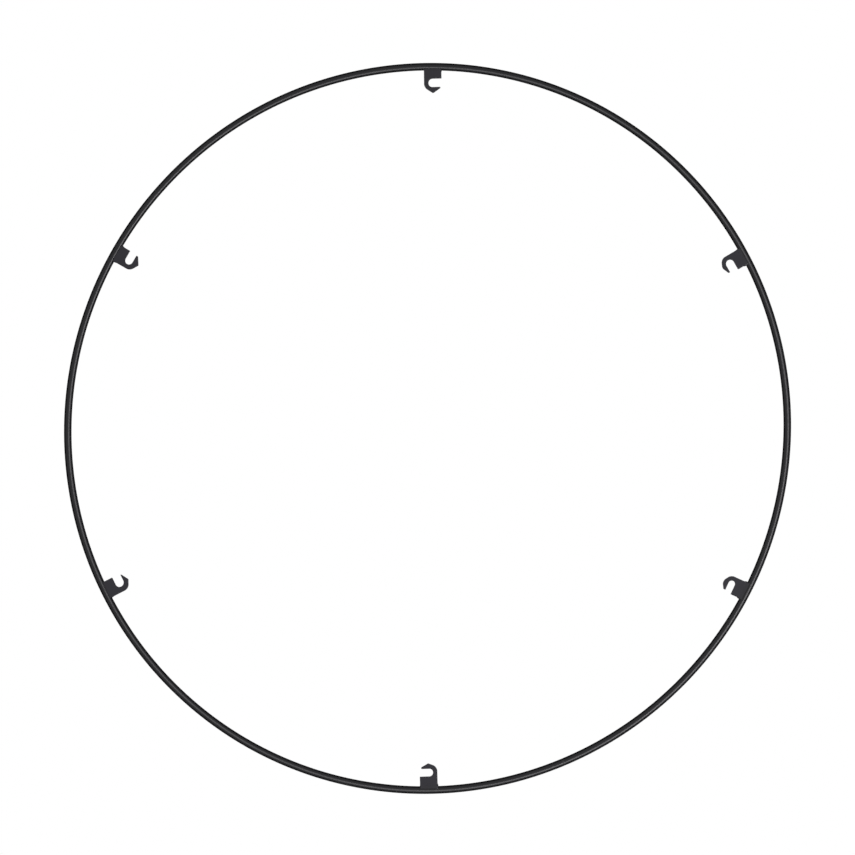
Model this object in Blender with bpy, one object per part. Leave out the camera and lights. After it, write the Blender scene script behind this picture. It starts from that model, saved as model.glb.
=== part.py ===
"""Roundnet rim: a hoop of round steel bar with six welded net hooks, coated black.

The hoop lies flat. +Z is up, +Y points to the hook at 12 o'clock and +X to 3 o'clock.
The origin is the hoop's centre, level with the lowest point of the bar.
"""

from math import acos, asin, cos, hypot, pi, radians, sin, sqrt, tan

import bmesh
import bpy
from mathutils import Matrix, Vector

# Rim bar
RIM_OUTER_DIAMETER = 0.9144
BAR_DIAMETER = 0.0095
BAR_SIDES = 16
RIM_STEPS = 144

# Closing weld, where the two ends of the bent bar meet
CLOSING_WELD_ANGLE = radians(-67.5)
CLOSING_WELD_WIDTH = 0.0025

# Net hooks: a flat plate with a slot that opens clockwise, seen from above
HOOK_ANGLES = tuple(radians(a) for a in (88.8, 27.6, -27.6, -89.4, -153.4, 150.3))
HOOK_THICKNESS = 0.003
HOOK_FACE_DROP = 0.0003
HOOK_WIDTH = 0.0216
HOOK_REACH = 0.0285
NECK_LENGTH = 0.0114
SLOT_WIDTH = 0.0102
SPINE_WIDTH = 0.0055
TIP_OFFSET = 0.0092
HEEL_SLOPE = radians(28.5)
JAW_SLOPE = radians(31)
HEEL_RADIUS = 0.0075
NOSE_RADIUS = 0.0023
NECK_CORNER_RADIUS = 0.0004
TIP_RADIUS = 0.0004
HOOK_EDGE_BEVEL = 0.00025

# Weld that fills the groove between the plate's end and the bar, seen from above
GROOVE_WELD_COVER = 0.0024
GROOVE_WELD_TOE = 0.0002

# Weld in the corner underneath the plate
UNDER_WELD_LEG = 0.003
UNDER_WELD_REACH = radians(-35)
UNDER_WELD_TOE = 0.0003
UNDER_WELD_HOLLOW = 0.0004

# Both welds
WELD_OVERRUN = 0.0012
WELD_END_SHARE = 0.45
WELD_STEPS = 6

# Gap that touching pieces keep
FIT_GAP = 0.0003

# Worked out from the sizes above. Heights are from the bar's centre line.
BAR_RADIUS = BAR_DIAMETER / 2
RIM_RADIUS = RIM_OUTER_DIAMETER / 2 - BAR_RADIUS
HOOK_TOP = BAR_RADIUS - HOOK_FACE_DROP
HOOK_BOTTOM = HOOK_TOP - HOOK_THICKNESS
WELD_BORE = BAR_RADIUS + FIT_GAP
HOOK_ROOT = sqrt(WELD_BORE**2 - HOOK_BOTTOM**2)


def clear_scene():
    for old in list(bpy.data.objects):
        bpy.data.objects.remove(old, do_unlink=True)


def coat(name, colour, roughness):
    """Black powder coat over steel."""
    material = bpy.data.materials.new(name)
    material.use_nodes = True
    shader = material.node_tree.nodes["Principled BSDF"]
    shader.inputs["Base Color"].default_value = (*colour, 1.0)
    shader.inputs["Roughness"].default_value = roughness
    shader.inputs["Metallic"].default_value = 0.0
    material.diffuse_color = (*colour, 1.0)
    return material


def mesh_from(bm, name, material):
    """Closes off a bmesh as a mesh with outward faces, smooth where it is round."""
    bmesh.ops.recalc_face_normals(bm, faces=bm.faces[:])
    mesh = bpy.data.meshes.new(name)
    bm.to_mesh(mesh)
    bm.free()
    mesh.materials.append(material)
    mesh.shade_smooth()
    mesh.set_sharp_from_angle(angle=radians(35))
    return mesh


def add_object(name, mesh, parent=None):
    piece = bpy.data.objects.new(name, mesh)
    bpy.context.scene.collection.objects.link(piece)
    piece.parent = parent
    return piece


def add_station(name, angle):
    """Empty on the bar's centre line, turned so that +Y points out of the hoop."""
    station = bpy.data.objects.new(name, None)
    bpy.context.scene.collection.objects.link(station)
    station.location = (RIM_RADIUS * cos(angle), RIM_RADIUS * sin(angle), BAR_RADIUS)
    station.rotation_euler = (0, 0, angle - pi / 2)
    return station


def arc(centre, radius, start, sweep, steps):
    """Points along an arc, both ends included."""
    turns = [start + sweep * i / steps for i in range(steps + 1)]
    return [(centre[0] + radius * cos(t), centre[1] + radius * sin(t)) for t in turns]


def fillet(before, corner, after, radius, steps):
    """The arc that rounds a corner of an outline."""
    corner = Vector(corner)
    to_before = (Vector(before) - corner).normalized()
    to_after = (Vector(after) - corner).normalized()
    half = to_before.angle(to_after) / 2
    centre = corner + (to_before + to_after).normalized() * (radius / sin(half))
    start = corner + to_before * (radius / tan(half)) - centre
    end = corner + to_after * (radius / tan(half)) - centre
    sweep = start.angle_signed(end)
    first = Vector((1, 0)).angle_signed(start)
    return arc(centre, radius, -first, -sweep, steps)


def rounded_outline(corners):
    """An outline from (x, y, radius, steps) corners, each rounded by its radius."""
    outline = []
    for i, (x, y, radius, steps) in enumerate(corners):
        if not radius:
            outline.append((x, y))
            continue
        before = corners[i - 1][:2]
        after = corners[(i + 1) % len(corners)][:2]
        outline += fillet(before, (x, y), after, radius, steps)
    kept = []
    for point in outline:
        if not kept or hypot(point[0] - kept[-1][0], point[1] - kept[-1][1]) > 1e-6:
            kept.append(point)
    return kept


def bar_length(name, start, sweep, steps, material):
    """A length of the hoop's bar, with flat ends, from one angle round to another."""
    bm = bmesh.new()
    # The sides of the section touch the round bar, and one of them lies underneath.
    bmesh.ops.create_circle(
        bm,
        cap_ends=True,
        segments=BAR_SIDES,
        radius=BAR_RADIUS / cos(pi / BAR_SIDES),
        matrix=Matrix.Rotation(start, 4, "Z")
        @ Matrix.Translation((RIM_RADIUS, 0, 0))
        @ Matrix.Rotation(pi / 2, 4, "X")
        @ Matrix.Rotation(pi / BAR_SIDES, 4, "Z"),
    )
    bmesh.ops.spin(
        bm,
        geom=bm.faces[:],
        cent=(0, 0, 0),
        axis=(0, 0, 1),
        angle=sweep,
        steps=steps,
    )
    piece = add_object(name, mesh_from(bm, name, material))
    piece.location = (0, 0, BAR_RADIUS)
    return piece


def make_rim(material):
    """The bent bar, and the weld that closes it, ground flush."""
    half_weld = asin(CLOSING_WELD_WIDTH / 2 / RIM_RADIUS)
    half_joint = asin((CLOSING_WELD_WIDTH / 2 + FIT_GAP) / RIM_RADIUS)
    start = CLOSING_WELD_ANGLE + half_joint
    bar_length("rim_bar", start, 2 * pi - 2 * half_joint, RIM_STEPS, material)
    start = CLOSING_WELD_ANGLE - half_weld
    bar_length("rim_closing_weld", start, 2 * half_weld, 1, material)


def hook_outline():
    """The hook seen from above: +Y out of the hoop, and the slot's mouth at +X."""
    # The root follows the inner side of the hoop.
    root_radius = RIM_RADIUS - HOOK_ROOT
    half_angle = asin(HOOK_WIDTH / 2 / root_radius)
    root = arc((0, -RIM_RADIUS), root_radius, pi / 2 + half_angle, -2 * half_angle, 4)
    mouth = HOOK_WIDTH / 2
    spine = -HOOK_WIDTH / 2
    slot_near = -BAR_RADIUS - NECK_LENGTH
    slot_far = slot_near - SLOT_WIDTH
    slot_end = spine + SPINE_WIDTH
    # The reach is taken where the two sloping edges meet, a little past the round nose.
    nose = -BAR_RADIUS - HOOK_REACH
    tip_foot = nose + TIP_OFFSET * tan(JAW_SLOPE)
    heel = nose + HOOK_WIDTH / 2 * tan(HEEL_SLOPE)
    return rounded_outline(
        [(*point, 0, 0) for point in root]
        + [
            (mouth, slot_near, NECK_CORNER_RADIUS, 1),
            (slot_end, slot_near, SLOT_WIDTH / 2, 6),
            (slot_end, slot_far, SLOT_WIDTH / 2, 6),
            (TIP_OFFSET, slot_far, TIP_RADIUS, 2),
            (TIP_OFFSET, tip_foot, TIP_RADIUS, 2),
            (0, nose, NOSE_RADIUS, 3),
            (spine, heel, HEEL_RADIUS, 6),
        ]
    )


def hook_mesh(material):
    bm = bmesh.new()
    outline = [bm.verts.new((x, y, HOOK_BOTTOM)) for x, y in hook_outline()]
    grown = bmesh.ops.extrude_face_region(bm, geom=[bm.faces.new(outline)])["geom"]
    top = [v for v in grown if isinstance(v, bmesh.types.BMVert)]
    bmesh.ops.translate(bm, verts=top, vec=(0, 0, HOOK_THICKNESS))
    return mesh_from(bm, "net_hook", material)


def groove_weld_section(share):
    """Section of the weld between the plate's end and the bar, in the Y-Z plane.

    At full share its face runs almost level from the plate's top face on to the bar, and
    ends short of the crest.
    """
    plate_side = HOOK_ROOT - FIT_GAP
    low = acos(plate_side / WELD_BORE)
    high = acos((BAR_RADIUS - GROOVE_WELD_COVER) / WELD_BORE)
    reach = low + (high - low) * share
    on_bar = arc((0, 0), WELD_BORE, pi - low, low - reach, 4)
    toe = arc((0, 0), WELD_BORE + GROOVE_WELD_TOE, pi - reach, 0, 1)[0]
    foot = on_bar[0][1]
    return on_bar + [toe, (-plate_side, foot + (HOOK_TOP - foot) * share)]


def under_weld_section(share):
    """Section of the weld in the corner between the bar and the plate's under face."""
    seat = HOOK_BOTTOM - FIT_GAP
    low = asin(seat / WELD_BORE)
    reach = low + (UNDER_WELD_REACH - low) * share
    on_bar = arc((0, 0), WELD_BORE, pi - low, low - reach, 4)
    bar_toe = arc((0, 0), WELD_BORE + UNDER_WELD_TOE, pi - reach, 0, 1)[0]
    plate_toe = (-WELD_BORE - UNDER_WELD_LEG * share, seat - UNDER_WELD_TOE)
    # The face of the weld is a little hollow.
    middle = (
        (bar_toe[0] + plate_toe[0]) / 2,
        (bar_toe[1] + plate_toe[1]) / 2 + UNDER_WELD_HOLLOW * share,
    )
    return on_bar + [bar_toe, middle, plate_toe, (plate_toe[0], seat)]


def weld_mesh(name, section, material):
    """A weld that follows the bar and thins out past both ends of the hook's root."""
    half_run = asin(HOOK_WIDTH / 2 / RIM_RADIUS)
    overrun = WELD_OVERRUN / RIM_RADIUS
    stops = [(-half_run - overrun, WELD_END_SHARE)]
    for i in range(WELD_STEPS + 1):
        stops.append((half_run * (2 * i / WELD_STEPS - 1), 1))
    stops.append((half_run + overrun, WELD_END_SHARE))
    bm = bmesh.new()
    rings = []
    for turn, share in stops:
        ring = [bm.verts.new((0, y, z)) for y, z in section(share)]
        around = Matrix.Rotation(turn, 3, "Z")
        bmesh.ops.rotate(bm, verts=ring, cent=(0, -RIM_RADIUS, 0), matrix=around)
        rings.append(ring)
    loops = [[bm.edges.new(pair) for pair in zip(r, r[1:] + r[:1])] for r in rings]
    for loop, following in zip(loops, loops[1:]):
        bmesh.ops.bridge_loops(bm, edges=loop + following)
    bm.faces.new(rings[0])
    bm.faces.new(rings[-1])
    return mesh_from(bm, name, material)


def make_hooks(hook_material, weld_material):
    hook = hook_mesh(hook_material)
    groove_weld = weld_mesh("groove_weld", groove_weld_section, weld_material)
    under_weld = weld_mesh("under_weld", under_weld_section, weld_material)
    for number, angle in enumerate(HOOK_ANGLES, 1):
        station = add_station(f"hook_station_{number}", angle)
        plate = add_object(f"net_hook_{number}", hook, station)
        bevel = plate.modifiers.new("edge", "BEVEL")
        bevel.width = HOOK_EDGE_BEVEL
        bevel.segments = 1
        bevel.limit_method = "ANGLE"
        bevel.angle_limit = radians(60)
        add_object(f"hook_weld_top_{number}", groove_weld, station)
        add_object(f"hook_weld_under_{number}", under_weld, station)


clear_scene()
rim_coat = coat("rim_coat", (0.030, 0.030, 0.032), 0.42)
hook_coat = coat("hook_coat", (0.038, 0.037, 0.043), 0.48)
weld_coat = coat("weld_coat", (0.034, 0.034, 0.038), 0.48)
make_rim(rim_coat)
make_hooks(hook_coat, weld_coat)
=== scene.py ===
"""A roundnet rim on a white floor: the hoop of round bar and its six welded net hooks.

Lengths are in metres. The hoop lies flat, with the hook at 12 o'clock towards +Y.
"""

from collections import namedtuple
from math import cos, pi, radians, sin, sqrt, tan

import bmesh
import bpy
from mathutils import Matrix, Vector


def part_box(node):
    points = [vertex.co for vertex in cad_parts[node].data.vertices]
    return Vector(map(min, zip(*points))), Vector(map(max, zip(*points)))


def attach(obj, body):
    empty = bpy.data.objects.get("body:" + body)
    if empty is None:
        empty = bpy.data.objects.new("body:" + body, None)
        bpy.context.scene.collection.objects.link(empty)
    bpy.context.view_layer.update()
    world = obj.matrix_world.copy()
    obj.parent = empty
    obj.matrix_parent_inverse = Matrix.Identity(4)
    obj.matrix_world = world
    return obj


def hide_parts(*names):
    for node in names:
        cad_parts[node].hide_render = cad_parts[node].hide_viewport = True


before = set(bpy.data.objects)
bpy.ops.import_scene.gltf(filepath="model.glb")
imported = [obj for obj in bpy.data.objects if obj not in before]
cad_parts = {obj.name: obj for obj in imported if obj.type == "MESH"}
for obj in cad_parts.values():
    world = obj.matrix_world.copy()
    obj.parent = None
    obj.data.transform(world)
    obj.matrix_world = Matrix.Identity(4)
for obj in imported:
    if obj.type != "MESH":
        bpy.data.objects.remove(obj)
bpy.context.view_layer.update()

# Two faces of a rough mesh that meet at more than this form a true corner.
corner_angle = radians(60)

# The rim bar.
# One length of round steel bar, bent to a full circle, its two ends chamfered for the
# weld that closes it. The whole rim is powder coated black after welding.
bar_low, bar_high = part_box("rim_bar")
bar_radius = (bar_high.z - bar_low.z) / 2
hoop_radius = min(bar_high.x, bar_high.y, -bar_low.x, -bar_low.y) - bar_radius
bar_facets = 48
hoop_steps = 720
bar_end_chamfer = 0.0004
bar_smooth_angle = radians(35)
closing_weld_angle = radians(-67.5)
closing_weld_width = 0.0022


def powder_coat(name, colour, roughness):
    """Satin black powder coat: orange peel, a fine grain, and some change in depth and gloss."""
    coat = bpy.data.materials.new(name)
    coat.use_nodes = True
    nodes, links = coat.node_tree.nodes, coat.node_tree.links
    shader = nodes["Principled BSDF"]
    shader.inputs["Metallic"].default_value = 0.0
    shader.inputs["IOR"].default_value = 1.5
    place = nodes.new("ShaderNodeTexCoord")

    def noise(scale, detail):
        """Even noise through the piece. The scale is in cells to the metre."""
        texture = nodes.new("ShaderNodeTexNoise")
        texture.inputs["Scale"].default_value = scale
        texture.inputs["Detail"].default_value = detail
        links.new(place.outputs["Object"], texture.inputs["Vector"])
        return texture.outputs["Fac"]

    def relief(height, distance, strength):
        """Turns a noise into a relief of the surface."""
        bump = nodes.new("ShaderNodeBump")
        bump.inputs["Strength"].default_value = strength
        bump.inputs["Distance"].default_value = distance
        links.new(height, bump.inputs["Height"])
        return bump

    orange_peel = relief(noise(scale=620, detail=2), distance=0.00005, strength=0.6)
    grain = relief(noise(scale=2800, detail=2), distance=0.000015, strength=0.5)
    links.new(orange_peel.outputs["Normal"], grain.inputs["Normal"])
    links.new(grain.outputs["Normal"], shader.inputs["Normal"])

    # The coat is a little thicker in some places, which changes its depth and its gloss.
    thickness = noise(scale=75, detail=4)
    tint = nodes.new("ShaderNodeValToRGB")
    for element, position, depth in zip(tint.color_ramp.elements, (0.3, 0.7), (0.92, 1.08)):
        element.position = position
        element.color = (*[c * depth for c in colour], 1)
    links.new(thickness, tint.inputs["Fac"])
    links.new(tint.outputs["Color"], shader.inputs["Base Color"])
    gloss = nodes.new("ShaderNodeMapRange")
    gloss.inputs["To Min"].default_value = roughness - 0.03
    gloss.inputs["To Max"].default_value = roughness + 0.03
    links.new(thickness, gloss.inputs["Value"])
    links.new(gloss.outputs["Result"], shader.inputs["Roughness"])
    return coat


def coated_piece(name, bm, coat, smooth_angle):
    """Closes off a bmesh as a piece of the rim, smooth up to the given angle."""
    bmesh.ops.recalc_face_normals(bm, faces=bm.faces[:])
    mesh = bpy.data.meshes.new(name)
    bm.to_mesh(mesh)
    bm.free()
    mesh.materials.append(coat)
    mesh.shade_smooth()
    mesh.set_sharp_from_angle(angle=smooth_angle)
    piece = bpy.data.objects.new(name, mesh)
    bpy.context.scene.collection.objects.link(piece)
    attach(piece, "root")
    return piece


def round_edges(bm, edges, radius, segments):
    """Rounds the given edges of a closed mesh."""
    bmesh.ops.bevel(
        bm,
        geom=edges,
        offset=radius,
        affect="EDGES",
        segments=segments,
        profile=0.5,
        material=-1,
        clamp_overlap=True,
    )


def round_bar(bm, start, sweep, steps):
    """A length of the bar round the hoop's centre, with flat ends."""
    section = bmesh.ops.create_circle(
        bm,
        cap_ends=True,
        segments=bar_facets,
        radius=bar_radius,
        matrix=Matrix.Rotation(start, 4, "Z")
        @ Matrix.Translation((hoop_radius, 0, bar_radius))
        @ Matrix.Rotation(pi / 2, 4, "X"),
    )
    face = section["verts"][0].link_faces[0]
    bmesh.ops.spin(
        bm, geom=[face], cent=(0, 0, 0), axis=(0, 0, 1), angle=sweep, steps=steps
    )


rim_black = (0.0080, 0.0080, 0.0086)
rim_coat = powder_coat("rim_powder_coat", rim_black, 0.50)
# Grinding marks run round the bar under the coat and stretch its highlight lengthwise.
rim_nodes, rim_links = rim_coat.node_tree.nodes, rim_coat.node_tree.links
rim_shader = rim_nodes["Principled BSDF"]
rim_shader.inputs["Anisotropic"].default_value = 0.9
lengthwise = rim_nodes.new("ShaderNodeTangent")
lengthwise.direction_type = "RADIAL"
lengthwise.axis = "Z"
rim_links.new(lengthwise.outputs["Tangent"], rim_shader.inputs["Tangent"])

bm = bmesh.new()
half_joint = closing_weld_width / 2 / hoop_radius
round_bar(bm, closing_weld_angle + half_joint, 2 * pi - 2 * half_joint, hoop_steps)
bmesh.ops.recalc_face_normals(bm, faces=bm.faces[:])
end_edges = [e for e in bm.edges if e.calc_face_angle(0) > corner_angle]
round_edges(bm, end_edges, bar_end_chamfer, segments=2)
rim_bar = coated_piece("rim_bar_round", bm, rim_coat, bar_smooth_angle)
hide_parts("rim_bar")

# The closing weld.
# A butt weld that joins the two ends of the bar. It was ground level with the bar and
# coated, so only a shallow ring shows. It lies under the bar's surface by these shares
# of the bar's radius: in the middle of its width, and what its edges have on top.
closing_weld_sink = 0.004
closing_weld_crown = 0.016
bm = bmesh.new()
half_band = (closing_weld_width / 2 + bar_end_chamfer) / hoop_radius
round_bar(bm, closing_weld_angle - half_band, 2 * half_band, steps=10)
around = Matrix.Rotation(-closing_weld_angle, 3, "Z")
for vert in bm.verts:
    local = around @ vert.co
    along = local.y / (half_band * hoop_radius)
    out = Vector((local.x - hoop_radius, 0, local.z - bar_radius))
    sink = closing_weld_sink + closing_weld_crown * along**4
    vert.co = around.inverted() @ (local - out * sink)
# Ground across the bar, so its highlight isn't stretched along it.
closing_weld_coat = powder_coat("closing_weld_powder_coat", rim_black, 0.46)
closing_weld = coated_piece("rim_closing_weld_band", bm, closing_weld_coat, bar_smooth_angle)
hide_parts("rim_closing_weld")

# The six net hooks.
# Flat plates cut from 3 mm sheet, each with a slot that opens clockwise over a jaw with a
# blunt tip. The cuts and the set of the plates differ a little from hook to hook. Their
# upper faces lie almost level with the bar's crest.
hook_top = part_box("net_hook_1")[1].z - bar_radius
hook_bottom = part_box("net_hook_1")[0].z - bar_radius
hook_half_width = 0.0109
hook_root = -0.0035
heel_radius = 0.0082
small_corner_radius = 0.0005
plate_edge_radius = 0.0003
plate_smooth_angle = radians(50)

# In metres: the neck's length, the slot's and the spine's widths, the reach, the tip's
# offset from the nose, the nose's radius, how far the top weld covers the bar, and how
# far both welds run past the root's ends. In degrees: the place round the hoop, the
# slopes of heel and jaw, and the turn of the plate on its root.
Hook = namedtuple(
    "Hook",
    "place neck slot spine reach tip nose_radius heel_slope jaw_slope turn cover overrun",
)
hooks = [
    Hook(88.8, 0.0106, 0.0107, 0.0053, 0.0290, 0.0094, 0.0020, 34, 34, 2.0, 0.0025, 0.0002),
    Hook(27.65, 0.0115, 0.0102, 0.0055, 0.0278, 0.0088, 0.0050, 23, 24, 2.0, 0.0032, 0.0010),
    Hook(-27.5, 0.0121, 0.0084, 0.0055, 0.0281, 0.0086, 0.0070, 32, 31, 2.5, 0.0035, 0.0012),
    Hook(-89.4, 0.0121, 0.0095, 0.0051, 0.0284, 0.0088, 0.0010, 22, 28, 1.0, 0.0030, 0.0008),
    Hook(-153.45, 0.0116, 0.0110, 0.0065, 0.0291, 0.0091, 0.0010, 25, 31, 0.0, 0.0023, 0.0005),
    Hook(150.3, 0.0116, 0.0103, 0.0055, 0.0302, 0.0096, 0.0010, 32, 33, -0.5, 0.0012, 0.0008),
]


def station(hook):
    """Where a hook meets the bar: on its centre line, with +Y out of the hoop."""
    angle = radians(hook.place)
    centre = Vector((hoop_radius * cos(angle), hoop_radius * sin(angle), bar_radius))
    return Matrix.Translation(centre) @ Matrix.Rotation(angle - pi / 2, 4, "Z")


def round_corner(bm, vert, radius, turn, segments):
    """Rounds one corner of a flat outline that turns by the given angle there."""
    bmesh.ops.bevel(
        bm,
        geom=[vert],
        offset=radius * tan(turn / 2),
        affect="VERTICES",
        segments=segments,
        profile=0.5,
        material=-1,
    )


def hook_plate(hook):
    """The plate of one hook as a closed mesh, its root at the station of the hook."""
    heel_slope, jaw_slope = radians(hook.heel_slope), radians(hook.jaw_slope)
    slot_near = -bar_radius - hook.neck
    slot_far = slot_near - hook.slot
    slot_end = -hook_half_width + hook.spine
    # A hair less than half the slot's width, so its two round corners don't meet.
    slot_radius = hook.slot / 2 - 1e-5
    # The reach is taken where the two sloping edges meet, a little past the round nose.
    nose = -bar_radius - hook.reach
    tip_foot = nose + hook.tip * tan(jaw_slope)
    heel = nose + hook_half_width * tan(heel_slope)
    # Each corner's x and y, its radius, the turn of the outline there, and the segments.
    corners = [
        (hook_half_width, hook_root, 0, 0, 0),
        (hook_half_width, slot_near, small_corner_radius, pi / 2, 4),
        (slot_end, slot_near, slot_radius, pi / 2, 12),
        (slot_end, slot_far, slot_radius, pi / 2, 12),
        (hook.tip, slot_far, small_corner_radius, pi / 2, 4),
        (hook.tip, tip_foot, small_corner_radius, pi / 2 - jaw_slope, 3),
        (0, nose, hook.nose_radius, heel_slope + jaw_slope, 8),
        (-hook_half_width, heel, heel_radius, pi / 2 - heel_slope, 10),
        (-hook_half_width, hook_root, 0, 0, 0),
    ]
    bm = bmesh.new()
    verts = [bm.verts.new((corner[0], corner[1], hook_bottom)) for corner in corners]
    bm.faces.new(verts)
    for vert, (_, _, radius, turn, segments) in zip(verts, corners):
        if radius:
            round_corner(bm, vert, radius, turn, segments)
    bmesh.ops.rotate(
        bm,
        verts=bm.verts[:],
        cent=(0, -bar_radius, 0),
        matrix=Matrix.Rotation(radians(hook.turn), 3, "Z"),
    )
    grown = bmesh.ops.extrude_face_region(bm, geom=bm.faces[:])["geom"]
    top = [v for v in grown if isinstance(v, bmesh.types.BMVert)]
    bmesh.ops.translate(bm, verts=top, vec=(0, 0, hook_top - hook_bottom))
    bmesh.ops.recalc_face_normals(bm, faces=bm.faces[:])
    rims = [e for e in bm.edges if e.calc_face_angle(0) > corner_angle]
    rims = [e for e in rims if abs(e.verts[0].co.z - e.verts[1].co.z) < 1e-6]
    round_edges(bm, rims, plate_edge_radius, segments=3)
    # A narrow border keeps the shading of the flat faces flat up to the round edges.
    flats = [f for f in bm.faces if abs(f.normal.z) > 0.999]
    bmesh.ops.inset_individual(bm, faces=flats, thickness=0.00004)
    bmesh.ops.transform(bm, matrix=station(hook), verts=bm.verts[:])
    return bm


hook_coat = powder_coat("hook_powder_coat", (0.0085, 0.0080, 0.0115), 0.42)
for number, hook in enumerate(hooks, 1):
    plate = coated_piece(
        f"net_hook_plate_{number}", hook_plate(hook), hook_coat, plate_smooth_angle
    )
    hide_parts(f"net_hook_{number}")

# The welds that hold the hooks.
# A bead's section and foot are places (y, z) on the hook's station. Past the root's ends,
# and on the last 3% before them, the bead is drawn in to a fifth of its size at its foot.
weld_end_share = 0.03
weld_end_size = 0.2
weld_sweep_steps = 64
weld_smooth_angle = radians(60)
weld_coat = powder_coat("weld_powder_coat", (0.0085, 0.0082, 0.0105), 0.42)


def weld_run(name, section, foot, ripple, pitch, hook):
    """A bead along the hook's root, swept round the hoop's centre."""
    half_run = hook_half_width / hoop_radius
    overrun = hook.overrun / hoop_radius
    sweep = 2 * (half_run + overrun)
    bm = bmesh.new()
    face = bm.faces.new([bm.verts.new((0, y, z)) for y, z in section])
    bmesh.ops.rotate(
        bm,
        verts=bm.verts[:],
        cent=(0, -hoop_radius, 0),
        matrix=Matrix.Rotation(-sweep / 2, 3, "Z"),
    )
    bmesh.ops.spin(
        bm,
        geom=[face],
        cent=(0, -hoop_radius, 0),
        axis=(0, 0, 1),
        angle=sweep,
        steps=weld_sweep_steps,
    )
    end_start = half_run * (1 - weld_end_share)
    end_length = overrun + half_run * weld_end_share
    for vert in bm.verts:
        past = max(0.0, (abs(vert.co.x) / hoop_radius - end_start) / end_length)
        size = sqrt(max(0.0, 1 - (1 - weld_end_size**2) * past * past))
        toe = Vector((vert.co.x, foot[0], foot[1]))
        vert.co = toe + (vert.co - toe) * size
        # Slanted ripples of uneven length, from the steps of the welder's hand.
        along = 2 * pi * (vert.co.x + 0.15 * vert.co.y) / pitch
        wave = 0.7 * sin(along) + 0.3 * sin(0.6 * along + radians(hook.place))
        vert.co += (vert.co - toe).normalized() * (ripple * size * wave)
    bmesh.ops.transform(bm, matrix=station(hook), verts=bm.verts[:])
    weld = coated_piece(name, bm, weld_coat, weld_smooth_angle)
    return weld


# The welds on the hooks' upper faces.
# Each fills the groove between the plate's end and the bar and was dressed smooth, so
# the plate seems to run on over the bar. How far it covers the bar varies.
face_start = -0.0053
face_rise = 0.00005
face_curve = 1.6
# The bead's under side, from the bar to the plate. Past the plate's sides it shows.
groove_floor = [(-0.0036, 0.0012), (-0.0043, 0.0017), (-0.0050, 0.0021), (face_start, 0.0030)]
for number, hook in enumerate(hooks, 1):
    toe_y = -(bar_radius - hook.cover)
    toe_z = sqrt(bar_radius**2 - toe_y**2)
    # The face is a shallow arc from the plate to the bar, and its toe dips into the bar.
    section = [(face_start, hook_top + face_rise)]
    for share in (0.25, 0.5, 0.75, 1.0):
        y = face_start + (toe_y - face_start) * share
        z = hook_top + face_rise + (toe_z - hook_top) * share**face_curve
        section.append((y, z))
    section.append((toe_y + 0.0003, toe_z - 0.0006))
    section += groove_floor
    top_weld = weld_run(
        f"hook_top_weld_{number}",
        section,
        foot=(-0.0031, 0.0024),
        ripple=0.000015,
        pitch=0.0021,
        hook=hook,
    )
    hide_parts(f"hook_weld_top_{number}")

# The welds underneath.
# A plain fillet in the corner between the bar and the plate's under face, left as it
# was laid, so its ripples show. The first and last points lie inside the plate.
fillet_section = [
    (-0.0081, hook_bottom + 0.0002),
    (-0.0081, hook_bottom - 0.00015),
    (-0.0073, hook_bottom - 0.0006),
    (-0.0063, hook_bottom - 0.0014),
    (-0.0053, hook_bottom - 0.0024),
    (-0.0044, hook_bottom - 0.0035),
    (-0.00385, hook_bottom - 0.0043),
    (-0.0032, hook_bottom - 0.0039),
    (-0.0036, hook_bottom + 0.0002),
]
for number, hook in enumerate(hooks, 1):
    under_weld = weld_run(
        f"hook_under_weld_{number}",
        fillet_section,
        foot=(-0.0040, -0.0004),
        ripple=0.00010,
        pitch=0.0016,
        hook=hook,
    )
    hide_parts(f"hook_weld_under_{number}")

# The floor.
# A plain sheet that shines as white as the photograph's background and takes no shadow.
# It lies a hair under the rim and doesn't light it.
bpy.ops.mesh.primitive_plane_add(size=60, location=(0, 0, -0.0002))
floor = bpy.context.object
floor.name = "studio_floor"
floor_white = bpy.data.materials.new("floor_white")
floor_white.use_nodes = True
floor_shader = floor_white.node_tree.nodes["Principled BSDF"]
floor_shader.inputs["Base Color"].default_value = (0, 0, 0, 1)
floor_shader.inputs["Specular IOR Level"].default_value = 0.0
floor_shader.inputs["Emission Color"].default_value = (1, 1, 1, 1)
floor_shader.inputs["Emission Strength"].default_value = 1.0
floor.data.materials.append(floor_white)
floor.visible_glossy = False
floor.visible_diffuse = False

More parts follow.
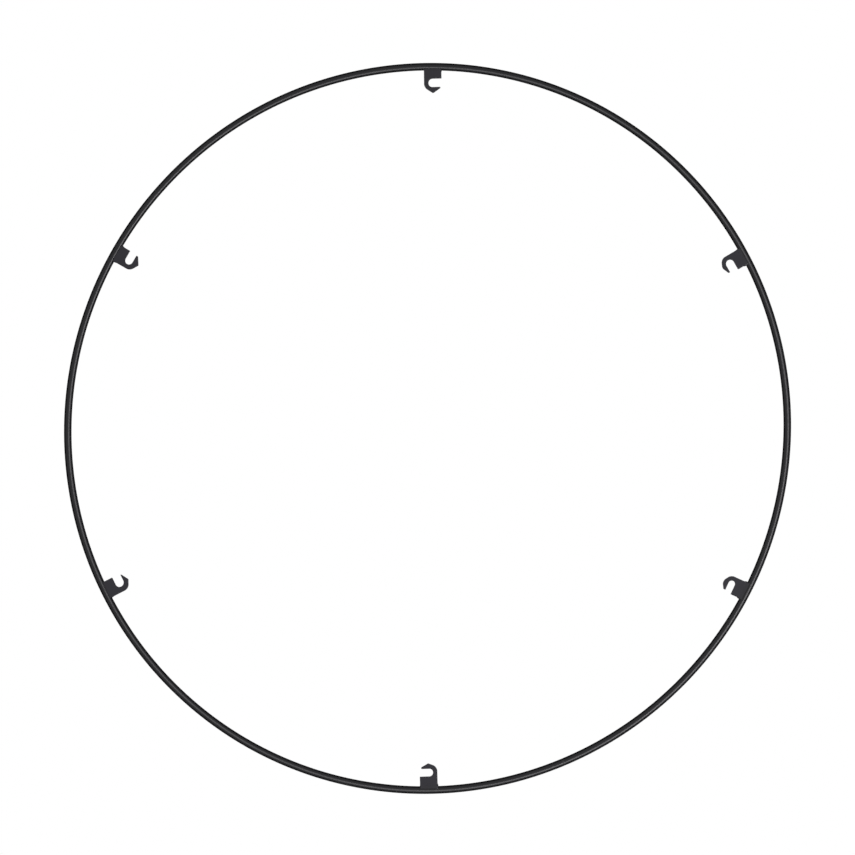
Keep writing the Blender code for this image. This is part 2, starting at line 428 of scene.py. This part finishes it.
# The light.
# A softbox towards 4 o'clock, 47 degrees from overhead, and an even tent that ends above
# the floor. Nothing shines from the sides or below, which keeps the bar's flanks dark.
# The camera sees a white backdrop in place of the tent.
world = bpy.data.worlds.new("studio")
bpy.context.scene.world = world
world.use_nodes = True
world_nodes, world_links = world.node_tree.nodes, world.node_tree.links
tent = world_nodes["Background"]
tent.inputs["Color"].default_value = (0.975, 0.965, 1.0, 1)
direction = world_nodes.new("ShaderNodeTexCoord")
height = world_nodes.new("ShaderNodeSeparateXYZ")
world_links.new(direction.outputs["Generated"], height.inputs["Vector"])
tent_edge = world_nodes.new("ShaderNodeMapRange")
tent_edge.inputs["From Min"].default_value = 0.05
tent_edge.inputs["From Max"].default_value = 0.50
tent_edge.inputs["To Max"].default_value = 0.57
world_links.new(height.outputs["Z"], tent_edge.inputs["Value"])
world_links.new(tent_edge.outputs["Result"], tent.inputs["Strength"])
backdrop = world_nodes.new("ShaderNodeBackground")
backdrop.inputs["Color"].default_value = (1, 1, 1, 1)
seen = world_nodes.new("ShaderNodeLightPath")
pick = world_nodes.new("ShaderNodeMixShader")
world_links.new(seen.outputs["Is Camera Ray"], pick.inputs["Fac"])
world_links.new(tent.outputs["Background"], pick.inputs[1])
world_links.new(backdrop.outputs["Background"], pick.inputs[2])
world_links.new(pick.outputs["Shader"], world_nodes["World Output"].inputs["Surface"])

key = bpy.data.lights.new("softbox", "AREA")
key.shape = "DISK"
key.size = 2.4
key.color = (0.985, 0.97, 1.0)
key.energy = 380
softbox = bpy.data.objects.new("softbox", key)
bpy.context.scene.collection.objects.link(softbox)
softbox.location = (3.09, -2.57, 3.77)
aim = Vector((0, 0, 0)) - softbox.location
softbox.rotation_euler = aim.to_track_quat("-Z", "Y").to_euler()
softbox.visible_camera = False

# The camera.
# Far off and almost straight above, leaning 8.5 degrees towards 4 o'clock. It aims a
# little off the hoop's centre, because the hoop isn't quite in the photograph's middle.
camera_distance = 10
camera_target = Vector((0.00255, -0.00042, bar_radius))
lean, lean_towards = radians(8.485), radians(-30.851)
back = Vector((sin(lean) * cos(lean_towards), sin(lean) * sin(lean_towards), cos(lean)))
up = (Vector((0, 1, 0)) - back * back.y).normalized()
right = up.cross(back)
camera = bpy.data.objects.new("camera", bpy.data.cameras.new("camera"))
bpy.context.scene.collection.objects.link(camera)
camera.location = camera_target + back * camera_distance
camera.rotation_euler = Matrix((right, up, back)).transposed().to_euler()
camera.data.sensor_width = 36
camera.data.lens = 337.56
camera.data.clip_end = 100
bpy.context.scene.camera = camera
bpy.context.scene.view_settings.view_transform = "Standard"
